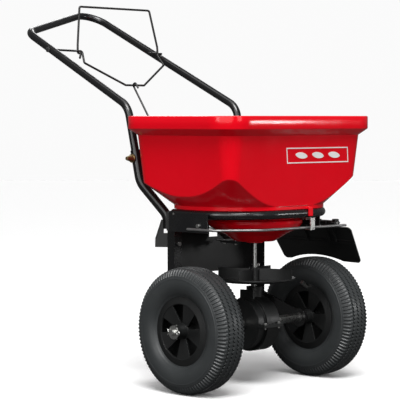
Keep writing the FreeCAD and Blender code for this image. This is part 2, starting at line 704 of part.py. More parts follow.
def pinion():
    """Ten straight teeth on the foot of the upright shaft."""
    low = AXLE_Z + CROWN_R - 5.5
    high = AXLE_Z + CROWN_R + 5.5
    hub = bar((0, 0, low - 1), (0, 0, high + 3), 10.6)
    tooth = box(9, 14.8, -TOOTH_W / 2, TOOTH_W / 2, low, high)
    teeth = []
    for k in range(PINION_TEETH):
        copy = tooth.copy()
        copy.rotate(V(0, 0, 0), Z_AXIS, 360 / PINION_TEETH * k)
        teeth.append(copy)
    return hub.fuse(teeth).cut(bar((0, 0, low - 3), (0, 0, high + 5), SHAFT_R + 0.01)).removeSplitter()


def gearbox_shell():
    """Drum round the gear pair, with a neck for the shaft and a bolted flange on the axle plane."""
    mid = box(BOX_LOW_X, BOX_HIGH_X, -79, 79, AXLE_Z - 4, AXLE_Z + 4)
    main = bar((BOX_LOW_X, 0, AXLE_Z), (BOX_MID_X, 0, AXLE_Z), BOX_R)
    near = bar((BOX_MID_X, 0, AXLE_Z), (BOX_HIGH_X, 0, AXLE_Z), NEAR_R)
    neck = bar((0, 0, 200), (0, 0, 243.4), 19)
    collar = bar((0, 0, 232), (0, 0, 243.4), 21)
    rib = box(BOX_MID_X - 3, BOX_MID_X + 4, -22, 22, 200, 236)
    bosses = bar((BOX_LOW_X - 4, 0, AXLE_Z), (BOX_HIGH_X + 4, 0, AXLE_Z), 17)
    solid = mid.fuse([main, near, neck, collar, rib, bosses])
    cavity = bar((BOX_LOW_X + 3.5, 0, AXLE_Z), (BOX_MID_X - 0.5, 0, AXLE_Z), BOX_R - 3.5)
    cavity = cavity.fuse(bar((BOX_MID_X - 1, 0, AXLE_Z), (BOX_HIGH_X - 3.5, 0, AXLE_Z), NEAR_R - 3.5))
    web = box(BOX_LOW_X + 3, 9, -12, 12, 182, SHAFT_LOW - 0.2)
    shell = solid.cut(cavity).fuse(web)
    shell = shell.cut(bar((BOX_LOW_X - 5, 0, AXLE_Z), (BOX_HIGH_X + 5, 0, AXLE_Z), 12))
    shell = shell.cut(bar((0, 0, 214), (0, 0, 250), 8))
    for x, y in gearbox_holes():
        shell = shell.cut(bar((x, y, AXLE_Z - 6), (x, y, AXLE_Z + 6), 2.6))
    return shell


def gearbox_holes():
    return [(x, y) for x in (-9, 40) for y in (-73, 73)]


def gearbox_half(upper):
    low, high = (AXLE_Z, 300) if upper else (60, AXLE_Z)
    return gearbox_shell().common(box(-100, 100, -100, 100, low, high)).removeSplitter()


def gearbox_bolts():
    return [screw((x, y, AXLE_Z + 4), (0, 0, 1), 2.5, 12, 8, 4) for x, y in gearbox_holes()]


def gearbox_bushings():
    low = sleeve((BOX_LOW_X - 4, 0, AXLE_Z), (BOX_LOW_X + 5, 0, AXLE_Z), 12, AXLE_R + FIT)
    high = sleeve((BOX_HIGH_X - 5, 0, AXLE_Z), (BOX_HIGH_X + 4, 0, AXLE_Z), 12, AXLE_R + FIT)
    return low, high, sleeve((0, 0, 218), (0, 0, 243.4), 8, SHAFT_R + FIT)


# ---------------------------------------------------------------- impeller

def impeller_shaft():
    shaft = bar((0, 0, SHAFT_LOW), (0, 0, SHAFT_TOP), SHAFT_R)
    shaft = shaft.cut(bar((0, -8, 297), (0, 8, 297), 1.6))
    shaft = shaft.cut(bar((-8, 0, 378), (8, 0, 378), 2.5))
    return shaft


def impeller():
    """Dished disc with four upright vanes that curve a little, and a hub."""
    z = IMPELLER_Z
    rim = IMPELLER_R
    disc = spin([(8, z), (86, z), (rim, z + 6), (rim, z + 9), (85, z + 3), (8, z + 3)], 0)
    hub = bar((0, 0, z - 4), (0, 0, 291), 13)
    shapes = [disc, hub]
    for k in range(4):
        bowed = Part.Wire([
            Part.Arc(V(10, 0, 0), V(56, 7, 0), V(99, 0, 0)).toShape(),
            Part.LineSegment(V(99, 0, 0), V(99, 3, 0)).toShape(),
            Part.Arc(V(99, 3, 0), V(56, 10, 0), V(10, 3, 0)).toShape(),
            Part.LineSegment(V(10, 3, 0), V(10, 0, 0)).toShape()])
        vane = Part.Face(bowed).extrude(V(0, 0, 30))
        vane.translate(V(0, -1.5, z + 2))
        vane.rotate(V(0, 0, 0), Z_AXIS, 90 * k + 20)
        shapes.append(vane)
    below_rim = spin([(80, z - 1), (rim + 2, z - 1), (rim + 2, z + 6.5), (86, z)], 0)
    body = shapes[0].fuse(shapes[1:]).cut(below_rim).cut(bar((0, 0, 240), (0, 0, 300), SHAFT_R + 0.01))
    return body.removeSplitter()


def impeller_pin():
    """Cotter through the shaft above the hub."""
    pin = bar((0, -9, 297), (0, 9, 297), 1.5)
    return fuse(pin, Part.makeTorus(3.2, 1.4, V(0, 11.6, 297), X_AXIS))


def agitator():
    return rod([(-34, 0, 389), (-26, 0, 378), (26, 0, 378), (34, 0, 389)], 2.45, 6)


# ---------------------------------------------------------------- gate and its linkage

def gate_plate():
    """Shut-off plate under the bowl, with a tongue that rises to the rod's eye."""
    sheet = 2.4
    plate = box(-39.5, 39.5, -96, -21.6, 354.2, 354.2 + sheet)
    low, high = GATE_EYE[2] - 10, GATE_EYE[1] - 10
    profile = [(-93, 354.2), (-136, low - 3), (-176, low), (high, low), (high, low + 2.4), (-175, low + 2.4),
               (-135, low - 0.6), (-92, 354.2 + sheet), (-93, 354.2)]
    rise = Part.Face(Part.makePolygon([V(-9, y, z) for y, z in profile])).extrude(V(18, 0, 0))
    ear = box(-9, -6.6, high, GATE_EYE[1] + 13, low, low + 20)
    ear = ear.cut(bar((-10, GATE_EYE[1], GATE_EYE[2]), (-5, GATE_EYE[1], GATE_EYE[2]), 5.2))
    return plate.fuse([rise, ear]).removeSplitter()


def gate_guide(side):
    """Rail screwed under the bowl that carries one edge of the plate."""
    rail = box(40.2, 49, -72, -12, 350.6, BOWL_FLOOR - 3)
    lip = box(36.4, 41, -72, -12, 350.6, 353.6)
    guide = rail.fuse(lip).cut([bar((45, y, 345), (45, y, 360), 1.95) for y in (-62, -22)]).removeSplitter()
    return guide if side > 0 else mirror(guide)


def guide_holes():
    return [(x, y) for x in (-45, 45) for y in (-62, -22)]


def guide_screws():
    return [screw((x, y, 350.4), (0, 0, -1), 1.9, 8, 6, 2.6) for x, y in guide_holes()]


def lever_wire():
    """Lower loop: ends in the legs, short straights for the bail's hooks, bar at the bottom."""
    x, y, z = PIVOT
    right = [(x + 14.4, y, z), (x - 15, y, z), (EYE_X + 10, EYE[0], EYE[1]), (EYE_X - 10, EYE[0], EYE[1]),
             (143, -474, 803), BAR]
    left = [(-px, py, pz) for px, py, pz in reversed(right)]
    return rod(right + left, WIRE_R, 5)


def bail_wire():
    """Upper loop that the hand pulls, with a hook round each straight of the lever wire."""
    reach = 2 * WIRE_R + 0.35
    y, z = EYE
    right = [(EYE_X + 9, y + 13, z - 19), (EYE_X, y + 7, z - reach), (EYE_X, y - reach, z - reach),
             (EYE_X - 1, y - reach - 1, z + 18), (125, -513, 951)]
    left = [(-px, py, pz) for px, py, pz in reversed(right)]
    return rod(right + left, WIRE_R, reach)


def control_rod():
    """Straight rod: hooked over the lever's bar, and turned through the gate's ear into a tail."""
    reach = WIRE_R + ROD_R + 0.35
    top = V(0, BAR[1], BAR[2])
    low = V(0, GATE_EYE[1], GATE_EYE[2])
    run = low - top
    lean = math.acos(reach / run.Length)
    toward = math.atan2(run.z, run.y) - lean
    touch = top + V(0, math.cos(toward), math.sin(toward)) * reach
    down = (low - touch).normalize()
    side = (top - touch).normalize()
    shank = Part.LineSegment(touch + down * (low - touch).Length * 0.5, touch).toShape()
    crest = top - down * reach
    far = top + side * reach
    turn = Part.Arc(touch, crest, far).toShape()
    tail = Part.LineSegment(far, far + down * 13).toShape()
    path = Part.Wire([shank, turn, tail])
    start = shank.Vertexes[0].Point
    circle = Part.Wire(Part.makeCircle(ROD_R, start, touch - start))
    upper = path.makePipeShell([circle], True, False)
    x = -13.0
    end = [(x, low.y, low.z), (x, low.y - 5, low.z - 38), (x, low.y + 4, low.z - 62)]
    return fuse(upper, rod([tuple(start), tuple(low)] + end, ROD_R, 5))


# ---------------------------------------------------------------- side baffle

def side_baffle():
    """Plastic flap on the left, hung outwards over the tyre, with an arched lower edge."""
    def point(y, drop):
        return V(HINGE_X, y, HINGE_Z - drop)

    edges = [
        Part.LineSegment(point(-192, 12.5), point(79, 12.5)).toShape(),
        Part.Arc(point(79, 12.5), point(87, 15.5), point(91, 22)).toShape(),
        Part.LineSegment(point(91, 22), point(87, 108)).toShape(),
        Part.Arc(point(87, 108), point(84, 115), point(76, 118)).toShape(),
        Part.LineSegment(point(76, 118), point(30, 117)).toShape(),
        Part.Arc(point(30, 117), point(-66, 101), point(-150, 117)).toShape(),
        Part.LineSegment(point(-150, 117), point(-165, 118)).toShape(),
        Part.Arc(point(-165, 118), point(-173, 115), point(-177, 108)).toShape(),
        Part.LineSegment(point(-177, 108), point(-192, 12.5)).toShape()]
    flap = Part.Face(Part.Wire(edges)).extrude(V(-3, 0, 0))
    for drop in (52, 60):
        groove = box(HINGE_X - 4, HINGE_X - 2, -174, 80, HINGE_Z - drop - 1.2, HINGE_Z - drop + 1.2)
        flap = flap.cut(groove)
        ridge = box(HINGE_X - 0.5, HINGE_X + 1.4, -174, 80, HINGE_Z - drop - 1.8, HINGE_Z - drop + 1.8)
        flap = flap.fuse(ridge)
    for low, high in KNUCKLES:
        web = box(HINGE_X - 3, HINGE_X + 3, low, high, HINGE_Z - 24, HINGE_Z - 4)
        barrel = bar((HINGE_X, low, HINGE_Z), (HINGE_X, high, HINGE_Z), 6.5)
        strap = box(HINGE_X - 1, HINGE_X + 4.5, low + 7, high - 7, HINGE_Z - 56, HINGE_Z - 4)
        flap = flap.fuse([web, barrel, strap])
    flap = flap.cut(bar((HINGE_X, -180, HINGE_Z), (HINGE_X, 100, HINGE_Z), HINGE_R + FIT))
    flap = flap.removeSplitter()
    flap.rotate(V(HINGE_X, 0, HINGE_Z), Y_AXIS, BAFFLE_LEAN)
    return flap


def baffle_arm(rear):
    """Upright web out to the hinge, with a foot bolted to the left bracket."""
    face = -(PLATE_X + PLATE_T)
    web = box(HINGE_X - 8, face, rear, rear + 4, HINGE_Z - 5, HINGE_Z + 8)
    foot = box(face - 3, face, rear - 16, rear + 4, HINGE_Z - 5, HINGE_Z + 22)
    arm = fuse(web, foot).cut(bar((HINGE_X, rear - 2, HINGE_Z), (HINGE_X, rear + 8, HINGE_Z), HINGE_R))
    return arm.cut(bar((face - 5, rear - 8, HINGE_Z + 10), (face + 5, rear - 8, HINGE_Z + 10), 2.5))


def baffle_pin():
    return bar((HINGE_X, HINGE_REAR, HINGE_Z), (HINGE_X, HINGE_FRONT, HINGE_Z), HINGE_R)


def baffle_knob(y):
    """Round plastic nut on the end of the hinge pin."""
    body = bar((HINGE_X, y, HINGE_Z), (HINGE_X, y + 11, HINGE_Z), 9)
    lugs = []
    for k in range(6):
        turn = math.radians(60 * k)
        x, z = HINGE_X + 9 * math.cos(turn), HINGE_Z + 9 * math.sin(turn)
        lugs.append(bar((x, y, z), (x, y + 11, z), 2.6))
    bore = bar((HINGE_X, y - 1, HINGE_Z), (HINGE_X, y + 12, HINGE_Z), HINGE_R)
    return body.fuse(lugs).cut(bore).removeSplitter()


def arm_screw_holes():
    face = -(PLATE_X + PLATE_T)
    z = HINGE_Z + 10
    return [bar((face - 5, rear - 8, z), (face + 5, rear - 8, z), 2.5) for rear in ARM_REARS]


def baffle_screws():
    face = -(PLATE_X + PLATE_T)
    return [screw((face - 3, rear - 8, HINGE_Z + 10), (-1, 0, 0), 2.4, 9, 8, 3.5) for rear in ARM_REARS]


# ---------------------------------------------------------------- assembly

def wheel_parts(side, name):
    x = side * WHEEL_X
    if side > 0:
        rim = wheel(side, AXLE_R + FIT)
        rim = rim.cut(bar((DRIVE_PIN_X, 0, AXLE_Z - 20), (DRIVE_PIN_X, 0, AXLE_Z + 20), 2.5))
    else:
        rim = wheel(side, 11)
    save("wheel_" + name, rim)
    save("tyre_" + name, tyre(x))
    save("inner_tube_" + name, inner_tube(x))
    save("valve_stem_" + name, valve_stem(side))


def write_frame():
    save("hoop_tube", hoop_tube())
    save("side_plate_right", side_plate())
    save("side_plate_left", mirror(side_plate()).cut(arm_screw_holes()))
    save("upright_right", upright())
    save("upright_left", mirror(upright()))
    save("axle_arm_right", axle_arm())
    save("axle_arm_left", mirror(axle_arm()))
    save("axle_bushings", axle_bushing(), mirror(axle_bushing()))
    save("stand_tube", stand_tube())
    save("stand_feet", stand_foot(), mirror(stand_foot()))
    save("rear_deflector", rear_deflector())
    save("frame_bolts", *frame_bolts(), *baffle_screws())
    save("guard_rod", guard_rod())
    save("guard_clip", guard_clip())


def write_handle():
    save("lower_handle_right", lower_handle())
    save("lower_handle_left", mirror(lower_handle()))
    save("upper_handle", upper_handle())
    save("handle_bolts", handle_bolt(), mirror(handle_bolt()))
    save("handle_knobs", handle_knob(), mirror(handle_knob()))
    save("pivot_bushings", pivot_bushing(), mirror(pivot_bushing()))


def write_hopper():
    save("hopper", hopper())
    save("hopper_bowl", bowl())
    save("hopper_screws", *hopper_screws(), *guide_screws())
    save("gate_guides", gate_guide(1), gate_guide(-1))
    save("bowl_bushing", sleeve((0, 0, 350), (0, 0, BOWL_FLOOR + 3), 9, SHAFT_R + FIT))


def write_drive():
    save("axle", axle())
    save("axle_washers", axle_washer(), mirror(axle_washer()))
    save("cotter_pins", cotter_pin(), mirror(cotter_pin()))
    save("axle_spacers", axle_spacer(1), axle_spacer(-1))
    hub_spacer = sleeve((ARM_X + ARM_T + 3.2, 0, AXLE_Z), (WHEEL_X - 44.3, 0, AXLE_Z), 12, AXLE_R + FIT)
    save("hub_spacers", hub_spacer, mirror(hub_spacer))
    drive_pin = bar((DRIVE_PIN_X, 0, AXLE_Z - 17), (DRIVE_PIN_X, 0, AXLE_Z + 17), 2.45)
    gear_pin = bar((GEAR_PIN_X, 0, AXLE_Z - 17.5), (GEAR_PIN_X, 0, AXLE_Z + 17.5), 1.95)
    save("roll_pins", drive_pin, gear_pin)
    save("crown_gear", crown_gear())
    wheel_parts(1, "right")
    wheel_parts(-1, "left")
    outer = sleeve((-WHEEL_X - 52.4, 0, AXLE_Z), (-WHEEL_X - 36, 0, AXLE_Z), 10.98, AXLE_R + FIT)
    inner = sleeve((-WHEEL_X + 28, 0, AXLE_Z), (-WHEEL_X + 43.8, 0, AXLE_Z), 10.98, AXLE_R + FIT)
    save("wheel_bushings", outer, inner)


def write_gearbox():
    save("gearbox_upper", gearbox_half(True))
    save("gearbox_lower", gearbox_half(False))
    save("gearbox_bolts", *gearbox_bolts())
    save("gearbox_bushings", *gearbox_bushings())
    save("impeller_shaft", impeller_shaft())
    save("pinion", pinion())
    save("impeller", impeller())
    save("impeller_pin", impeller_pin())
    save("agitator", agitator())


def write_controls():
    save("gate_plate", gate_plate())
    save("lever_wire", lever_wire())
    save("bail_wire", bail_wire())
    save("control_rod", control_rod())
    save("side_baffle", side_baffle())
    for name, rear in zip(("baffle_arm_rear", "baffle_arm_front"), ARM_REARS):
        save(name, baffle_arm(rear))
    save("baffle_pin", baffle_pin())
    save("baffle_knobs", baffle_knob(HINGE_REAR + 1), baffle_knob(HINGE_FRONT - 12))


os.makedirs("parts", exist_ok=True)
write_hopper()
write_frame()
write_handle()
write_drive()
write_gearbox()
write_controls()
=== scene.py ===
"""Looks of a walk-behind broadcast spreader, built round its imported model."""

import json
import math

import bmesh
import bpy
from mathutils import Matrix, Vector


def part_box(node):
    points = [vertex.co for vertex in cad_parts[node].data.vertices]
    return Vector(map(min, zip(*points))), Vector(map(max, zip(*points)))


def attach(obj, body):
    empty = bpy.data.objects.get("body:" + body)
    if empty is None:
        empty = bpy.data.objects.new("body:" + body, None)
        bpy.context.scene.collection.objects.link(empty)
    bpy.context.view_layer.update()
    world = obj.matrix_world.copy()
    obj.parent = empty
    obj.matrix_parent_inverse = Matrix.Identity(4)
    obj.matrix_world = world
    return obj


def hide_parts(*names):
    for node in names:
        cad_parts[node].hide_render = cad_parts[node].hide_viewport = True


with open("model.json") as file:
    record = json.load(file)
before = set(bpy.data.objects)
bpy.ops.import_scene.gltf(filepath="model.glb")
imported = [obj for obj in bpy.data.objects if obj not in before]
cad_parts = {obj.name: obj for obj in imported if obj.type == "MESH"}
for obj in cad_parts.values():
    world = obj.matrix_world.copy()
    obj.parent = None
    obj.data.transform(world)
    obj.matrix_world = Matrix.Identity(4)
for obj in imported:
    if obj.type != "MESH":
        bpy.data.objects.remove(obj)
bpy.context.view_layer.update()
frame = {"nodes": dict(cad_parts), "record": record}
nodes = frame["nodes"]

MM = 0.001
RIM_LOW_BOX, RIM_HIGH_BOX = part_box("hopper")
HOPPER_MID = (RIM_LOW_BOX + RIM_HIGH_BOX) / 2
GROUND_MID_X = HOPPER_MID.x                     # the hopper sits over the middle of the axle
AXLE_LOW, AXLE_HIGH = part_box("impeller_shaft")
AXLE_MID_Y = (AXLE_LOW.y + AXLE_HIGH.y) / 2     # the upright shaft stands over the axle

# Hopper, millimetres, about its own middle
RIM_TOP = RIM_HIGH_BOX.z / MM
RIM_HALF_X = (RIM_HIGH_BOX.x - RIM_LOW_BOX.x) / 2 / MM
RIM_HALF_Y = (RIM_HIGH_BOX.y - RIM_LOW_BOX.y) / 2 / MM
RIM_CORNER = 69.0
WALL_IN_X, WALL_IN_Y = 25.0, 20.0               # wall inside the rim, at WALL_REF_Z
WALL_CORNER = 46.0
RIM_DEEP = 31.0
RIM_TAPER = 16.0
WALL_REF_Z = 630.0
DRAFT = math.tan(math.radians(7.0))
SKIN = 3.5
RING_HALF_X, RING_HALF_Y, RING_CORNER = 196.0, 150.0, 142.0
RING_LOW, RING_TOP = 438.0, 447.5
FUNNEL_SLOPE, REAR_EASE = 0.92, 0.30            # the funnel is less steep towards the rear corners
FLOOR_LOW, FLOOR_INSET, FLOOR_STEP = 417.0, 50.0, 9.0
FLOOR_ROWS, FLOOR_TRIES = 8, 40                 # mesh rows on the floor, and steps tried at its mouth
MOUTH_R = 108.5
CREASE = 2.0                                    # height of the rounding between wall and funnel
SLOPE_ROWS = 20                                 # mesh rows on the funnel, and on the wall
TAB_X, TAB_HALF, TAB_LOW = -52.0, 7.0, 421.0
AROUND = 400
BACKDROP = 0.96                                 # brightness of the plain background
GLOW = 0.14                                     # light from all round
FLOOR_PALE, FLOOR_DIM = 1.0, 0.08               # to the camera, and to everything else
CAMERA_PLACE, CAMERA_TURN = (3151.0, 2959.0, 661.0), (87.3, 0.0, 135.0)
CAMERA_LENS = 157.37

# Tyres, millimetres
PITCHES = 100                                    # tread blocks round a tyre
PER_PITCH = 4
ZIGZAG = 2.4
GROOVE = 3.6
GROOVE_DEEP = 3.0
GROOVES = (-22.0, -7.4, 7.4, 22.0)
RIB_DEEP = 2.2
RIB_AIM = (18.0, 124.0)                          # ribs are sunk towards this point of the section
CROWN_R, CROWN_DROP, CROWN_HALF = 152.4, 2.6, 29.0


# ---------------------------------------------------------------- materials

def node(tree, kind, **values):
    """Adds a shader node and fills in its settings and inputs."""
    made = tree.nodes.new(kind)
    for key, value in values.items():
        if hasattr(made, key):
            setattr(made, key, value)
        else:
            made.inputs[key.replace("_", " ")].default_value = value
    return made


def noise(tree, scale, detail=3.0, rough=0.5):
    """Noise in the object's own coordinates; returns its value from 0 to 1."""
    where = node(tree, "ShaderNodeTexCoord")
    made = node(tree, "ShaderNodeTexNoise", Scale=scale, Detail=detail, Roughness=rough)
    tree.links.new(where.outputs["Object"], made.inputs["Vector"])
    return made.outputs["Fac"]


def spread(tree, value, low, high, start=0.3, end=0.7):
    """Maps a noise value to the range from low to high."""
    made = node(tree, "ShaderNodeMapRange")
    made.inputs["From Min"].default_value = start
    made.inputs["From Max"].default_value = end
    made.inputs["To Min"].default_value = low
    made.inputs["To Max"].default_value = high
    tree.links.new(value, made.inputs["Value"])
    return made.outputs["Result"]


def blend_colour(tree, factor, first, second):
    """Mix of two colours or colour outputs, by a value from 0 to 1."""
    made = node(tree, "ShaderNodeMix", data_type="RGBA")
    tree.links.new(factor, made.inputs["Factor"])
    for socket, colour in ((made.inputs[6], first), (made.inputs[7], second)):
        if isinstance(colour, tuple):
            socket.default_value = (*colour, 1.0)
        else:
            tree.links.new(colour, socket)
    return made.outputs[2]


def edge_mask(tree, radius):
    """Rounded normal near edges, and a mask that is 1 along them."""
    bevel = node(tree, "ShaderNodeBevel", samples=4, Radius=radius)
    flat = node(tree, "ShaderNodeNewGeometry")
    dot = node(tree, "ShaderNodeVectorMath", operation="DOT_PRODUCT")
    tree.links.new(bevel.outputs["Normal"], dot.inputs[0])
    tree.links.new(flat.outputs["Normal"], dot.inputs[1])
    return bevel.outputs["Normal"], spread(tree, dot.outputs["Value"], 1.0, 0.0, 0.86, 0.995)


def product(tree, a, b):
    """Product of two values or value outputs."""
    made = node(tree, "ShaderNodeMath", operation="MULTIPLY")
    for socket, value in zip(made.inputs, (a, b)):
        if isinstance(value, float):
            socket.default_value = value
        else:
            tree.links.new(value, socket)
    return made.outputs[0]


def finish(name, colour, darker, worn, rough, rough_spread, grain, bump, metallic=0.0, coat=0.0,
           edge=0.0008, patch=9.0, wear=0.5, shine=0.5):
    """A surface with colour variation, uneven gloss, fine relief and rubbed edges."""
    made = bpy.data.materials.new(name)
    made.use_nodes = True
    tree = made.node_tree
    shader = tree.nodes["Principled BSDF"]
    shader.inputs["Metallic"].default_value = metallic
    shader.inputs["Specular IOR Level"].default_value = shine
    shader.inputs["Coat Weight"].default_value = coat
    shader.inputs["Coat Roughness"].default_value = 0.12
    patches = spread(tree, noise(tree, patch, 4.0, 0.6), 0.0, 1.0)
    specks = spread(tree, noise(tree, grain, 2.0), 0.0, 1.0)
    normal, edges = edge_mask(tree, edge)
    rubbed = product(tree, product(tree, edges, specks), wear)
    base = blend_colour(tree, patches, colour, darker)
    tree.links.new(blend_colour(tree, rubbed, base, worn), shader.inputs["Base Color"])
    gloss = spread(tree, noise(tree, patch * 3.0, 5.0, 0.65), rough - rough_spread, rough + rough_spread)
    tree.links.new(gloss, shader.inputs["Roughness"])
    relief = node(tree, "ShaderNodeBump", Strength=0.6, Distance=bump)
    tree.links.new(noise(tree, grain, 2.0), relief.inputs["Height"])
    tree.links.new(normal, relief.inputs["Normal"])
    tree.links.new(relief.outputs["Normal"], shader.inputs["Normal"])
    return made


FINISHES = {
    "hopper_red": finish("hopper_red", (0.78, 0.0004, 0.010), (0.72, 0.0003, 0.008), (0.88, 0.05, 0.06),
                         0.15, 0.04, 700.0, 0.00003, edge=0.0012, patch=5.0, wear=0.2, shine=0.4),
    "frame_black": finish("frame_black", (0.008, 0.008, 0.008), (0.005, 0.005, 0.006), (0.04, 0.04, 0.04),
                          0.26, 0.06, 900.0, 0.00005, coat=0.3),
    "wire_black": finish("wire_black", (0.012, 0.012, 0.012), (0.007, 0.007, 0.007), (0.08, 0.08, 0.08),
                         0.38, 0.08, 1200.0, 0.00004),
    "moulded_black": finish("moulded_black", (0.0075, 0.008, 0.008), (0.005, 0.0055, 0.0055),
                            (0.035, 0.035, 0.035), 0.42, 0.08, 1500.0, 0.00005),
    "tyre": finish("tyre", (0.034, 0.037, 0.038), (0.025, 0.028, 0.029), (0.036, 0.040, 0.042),
                   0.42, 0.08, 1300.0, 0.00006, edge=0.0006, patch=14.0),
    "inner_tube": finish("inner_tube", (0.02, 0.02, 0.02), (0.015, 0.015, 0.015), (0.03, 0.03, 0.03),
                         0.7, 0.05, 900.0, 0.00005),
    "zinc": finish("zinc", (0.62, 0.62, 0.60), (0.48, 0.48, 0.47), (0.75, 0.75, 0.74),
                   0.30, 0.08, 1400.0, 0.00004, metallic=1.0, patch=60.0),
    "rod_grey": finish("rod_grey", (0.33, 0.33, 0.33), (0.24, 0.24, 0.24), (0.5, 0.5, 0.5),
                       0.34, 0.06, 1200.0, 0.00004, metallic=0.8, patch=40.0),
    "brass": finish("brass", (0.55, 0.42, 0.20), (0.40, 0.30, 0.14), (0.7, 0.6, 0.4),
                    0.30, 0.07, 1400.0, 0.00004, metallic=1.0, patch=50.0),
    "nylon": finish("nylon", (0.05, 0.05, 0.05), (0.035, 0.035, 0.035), (0.09, 0.09, 0.09),
                    0.5, 0.06, 1200.0, 0.00004),
    "gear_metal": finish("gear_metal", (0.30, 0.30, 0.31), (0.2, 0.2, 0.21), (0.5, 0.5, 0.5),
                         0.4, 0.08, 900.0, 0.00006, metallic=1.0, patch=40.0),
}
LABEL_WHITE = finish("label_white", (0.92, 0.91, 0.90), (0.84, 0.82, 0.81), (0.6, 0.5, 0.5),
                     0.35, 0.05, 900.0, 0.00002)


def dress_cad():
    """Gives every CAD node the finish of its material slot."""
    for entry in frame["record"]["subparts"]:
        thing = nodes[entry["node"]]
        made = FINISHES[entry["material_slot"]]
        if not thing.material_slots:
            thing.data.materials.append(made)
        for held in thing.material_slots:
            held.material = made


# ---------------------------------------------------------------- mesh helpers

def loop_mesh(name, rings, made, smooth_angle=40.0):
    """Closed skin through rings of equal length; the last ring joins the first."""
    count = len(rings[0])
    points = [p for ring in rings for p in ring]
    faces = []
    for k in range(len(rings)):
        after = (k + 1) % len(rings)
        for i in range(count):
            j = (i + 1) % count
            faces.append((k * count + i, k * count + j, after * count + j, after * count + i))
    return solid(name, points, faces, made, smooth_angle)


def solid(name, points, faces, made, smooth_angle=40.0):
    """Mesh object with merged points, outward faces and smooth shading up to an angle."""
    mesh = bpy.data.meshes.new(name)
    mesh.from_pydata([tuple(p) for p in points], [], faces)
    work = bmesh.new()
    work.from_mesh(mesh)
    bmesh.ops.remove_doubles(work, verts=work.verts, dist=0.00002)
    bmesh.ops.dissolve_degenerate(work, edges=work.edges, dist=0.00001)
    bmesh.ops.recalc_face_normals(work, faces=work.faces)
    limit = math.radians(smooth_angle)
    for face in work.faces:
        face.smooth = True
    for edge in work.edges:
        edge.smooth = edge.calc_face_angle(0.0) < limit
    work.to_mesh(mesh)
    work.free()
    mesh.materials.append(made)
    made_object = bpy.data.objects.new(name, mesh)
    bpy.context.scene.collection.objects.link(made_object)
    return made_object


def at(x, y, z):
    """Point from millimetres about the ground point under the axle's middle."""
    return Vector((GROUND_MID_X + x * MM, AXLE_MID_Y + y * MM, z * MM))


# ---------------------------------------------------------------- hopper

HOPPER_Y = (HOPPER_MID.y - AXLE_MID_Y) / MM


def circle_reach(dx, dy, mid_x, mid_y, radius):
    """Distance from the middle, along a direction, to the far side of a circle."""
    along = dx * mid_x + dy * mid_y
    return along + math.sqrt(max(0.0, along * along - mid_x ** 2 - mid_y ** 2 + radius ** 2))


def reach(turn, half_x, half_y, corner):
    """Distance from the middle to a rounded rectangle's edge, in the direction turn."""
    dx, dy = abs(math.cos(turn)), abs(math.sin(turn))
    flat_x, flat_y = half_x - corner, half_y - corner
    if dx * flat_y >= dy * half_x:
        return half_x / dx
    if dy * flat_x >= dx * half_y:
        return half_y / dy
    return circle_reach(dx, dy, flat_x, flat_y, corner)


def rim_reach(turn, inset):
    return reach(turn, RIM_HALF_X - inset, RIM_HALF_Y - inset, RIM_CORNER - inset)


def wall_reach(turn, z, inset):
    grow = (z - WALL_REF_Z) * DRAFT - inset
    return reach(turn, RIM_HALF_X - WALL_IN_X + grow, RIM_HALF_Y - WALL_IN_Y + grow, WALL_CORNER + grow)


def ring_reach(turn, inset):
    return reach(turn, RING_HALF_X - inset, RING_HALF_Y - inset, RING_CORNER - inset)


def funnel_reach(turn, z, inset):
    slope = FUNNEL_SLOPE - REAR_EASE * (0.5 - 0.5 * math.sin(turn)) ** 1.5
    return ring_reach(turn, inset - max(0.0, z - RING_TOP) / slope)


def crease_height(turn, inset):
    """Height at which the widening funnel meets the wall."""
    low, high = RING_TOP, RIM_TOP - RIM_DEEP - RIM_TAPER
    for _ in range(40):
        middle = (low + high) / 2
        if funnel_reach(turn, middle, inset) < wall_reach(turn, middle, inset):
            low = middle
        else:
            high = middle
    return low


def side_rows(turn, inset, top):
    """Reach and height up the funnel, round the crease and up the wall."""
    fold = crease_height(turn, inset)
    start, end = fold - 0.7 * CREASE, fold + CREASE
    rows = []
    for k in range(SLOPE_ROWS):
        z = RING_TOP + (start - RING_TOP) * k / SLOPE_ROWS
        rows.append((funnel_reach(turn, z, inset), z))
    first = (funnel_reach(turn, start, inset), start)
    corner = (wall_reach(turn, fold, inset), fold)
    last = (wall_reach(turn, end, inset), end)
    for t in (0.0, 0.25, 0.5, 0.75, 1.0):
        shares = ((1 - t) ** 2, 2 * t * (1 - t), t * t)
        rows.append(tuple(sum(w * p[k] for w, p in zip(shares, (first, corner, last))) for k in (0, 1)))
    for k in range(1, SLOPE_ROWS + 1):
        z = end + (top - end) * k / SLOPE_ROWS
        rows.append((wall_reach(turn, z, inset), z))
    return rows


def floor_row(turn, part, inset):
    """Reach and height on the dished floor, from the ring (0) to the mouth (1)."""
    mouth = circle_reach(math.cos(turn), math.sin(turn), 0.0, -HOPPER_Y, MOUTH_R)
    floor_wide = FLOOR_INSET - FLOOR_STEP
    deep = FLOOR_STEP + floor_wide * part
    out = ring_reach(turn, deep + inset)
    if out <= mouth:
        steps = [FLOOR_STEP + floor_wide * k / FLOOR_TRIES for k in range(FLOOR_TRIES + 1)]
        deep = min(steps, key=lambda d: abs(ring_reach(turn, d + inset) - mouth))
        out = mouth
    drop = (deep - FLOOR_STEP) / floor_wide
    return out, RING_LOW - (RING_LOW - FLOOR_LOW) * drop


